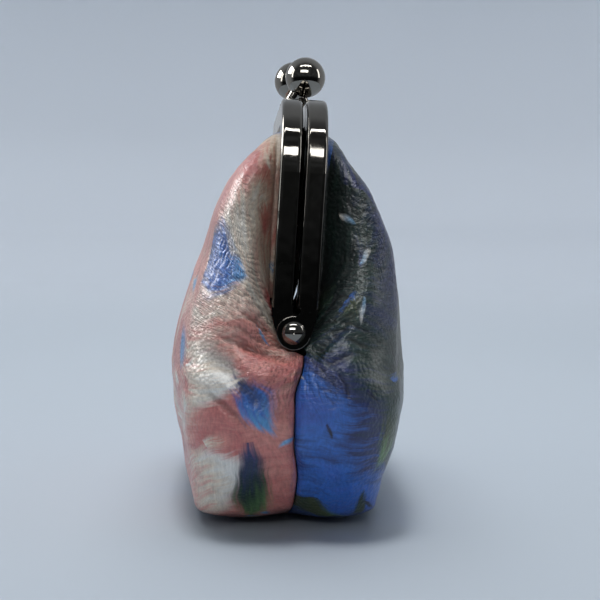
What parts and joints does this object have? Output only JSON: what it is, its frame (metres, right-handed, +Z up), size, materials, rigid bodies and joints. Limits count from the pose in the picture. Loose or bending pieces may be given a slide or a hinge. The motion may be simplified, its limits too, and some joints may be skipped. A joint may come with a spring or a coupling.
{
  "type": "coin purse",
  "caption": "Soft leather coin purse on a hinged metal channel frame; the two halves swing open about end rivets and shut with a crossing ball clasp.",
  "frame": {"origin": "on the table, under the middle of the bag", "axes": "+X along the frame between the two hinge rivets, +Y from the front panel to the back panel, +Z up"},
  "size_m": [0.1122, 0.0614, 0.1185],
  "materials": {
    "gunmetal": "polished black-nickel plating",
    "rose_leather": "soft satin leather with a rose and cream painterly print",
    "blue_leather": "soft satin leather with a deep blue and bottle green painterly print",
    "lining_cloth": "plain woven lining",
    "paper_cord": "twisted paper"
  },
  "bodies": {
    "bag": {"front_panel_lower": "rose_leather", "back_panel_lower": "blue_leather", "front_lining_lower": "lining_cloth", "back_lining_lower": "lining_cloth"},
    "front_half": {"front_frame": "gunmetal", "left_hinge_rivet": "gunmetal", "front_clasp_post": "gunmetal", "front_clasp_ball": "gunmetal", "front_packing_cord": "paper_cord", "front_panel_upper": "rose_leather", "front_lining_upper": "lining_cloth"},
    "back_half": {"back_frame": "gunmetal", "right_hinge_rivet": "gunmetal", "back_clasp_post": "gunmetal", "back_clasp_ball": "gunmetal", "back_packing_cord": "paper_cord", "back_panel_upper": "blue_leather", "back_lining_upper": "lining_cloth"}
  },
  "joints": [
    {"name": "front_open", "type": "hinge", "parent": "bag", "child": "front_half", "pos_m": [0, 0, 0.0485], "axis": [1, 0, 0], "range_deg": [0, 40], "deforming": ["front_panel_upper", "front_lining_upper"]},
    {"name": "back_open", "type": "hinge", "parent": "bag", "child": "back_half", "pos_m": [0, 0, 0.0485], "axis": [-1, 0, 0], "range_deg": [0, 40], "deforming": ["back_panel_upper", "back_lining_upper"]}
  ],
  "couplings": [
    {"joint": "back_open", "follows": "front_open", "ratio": 1}
  ]
}
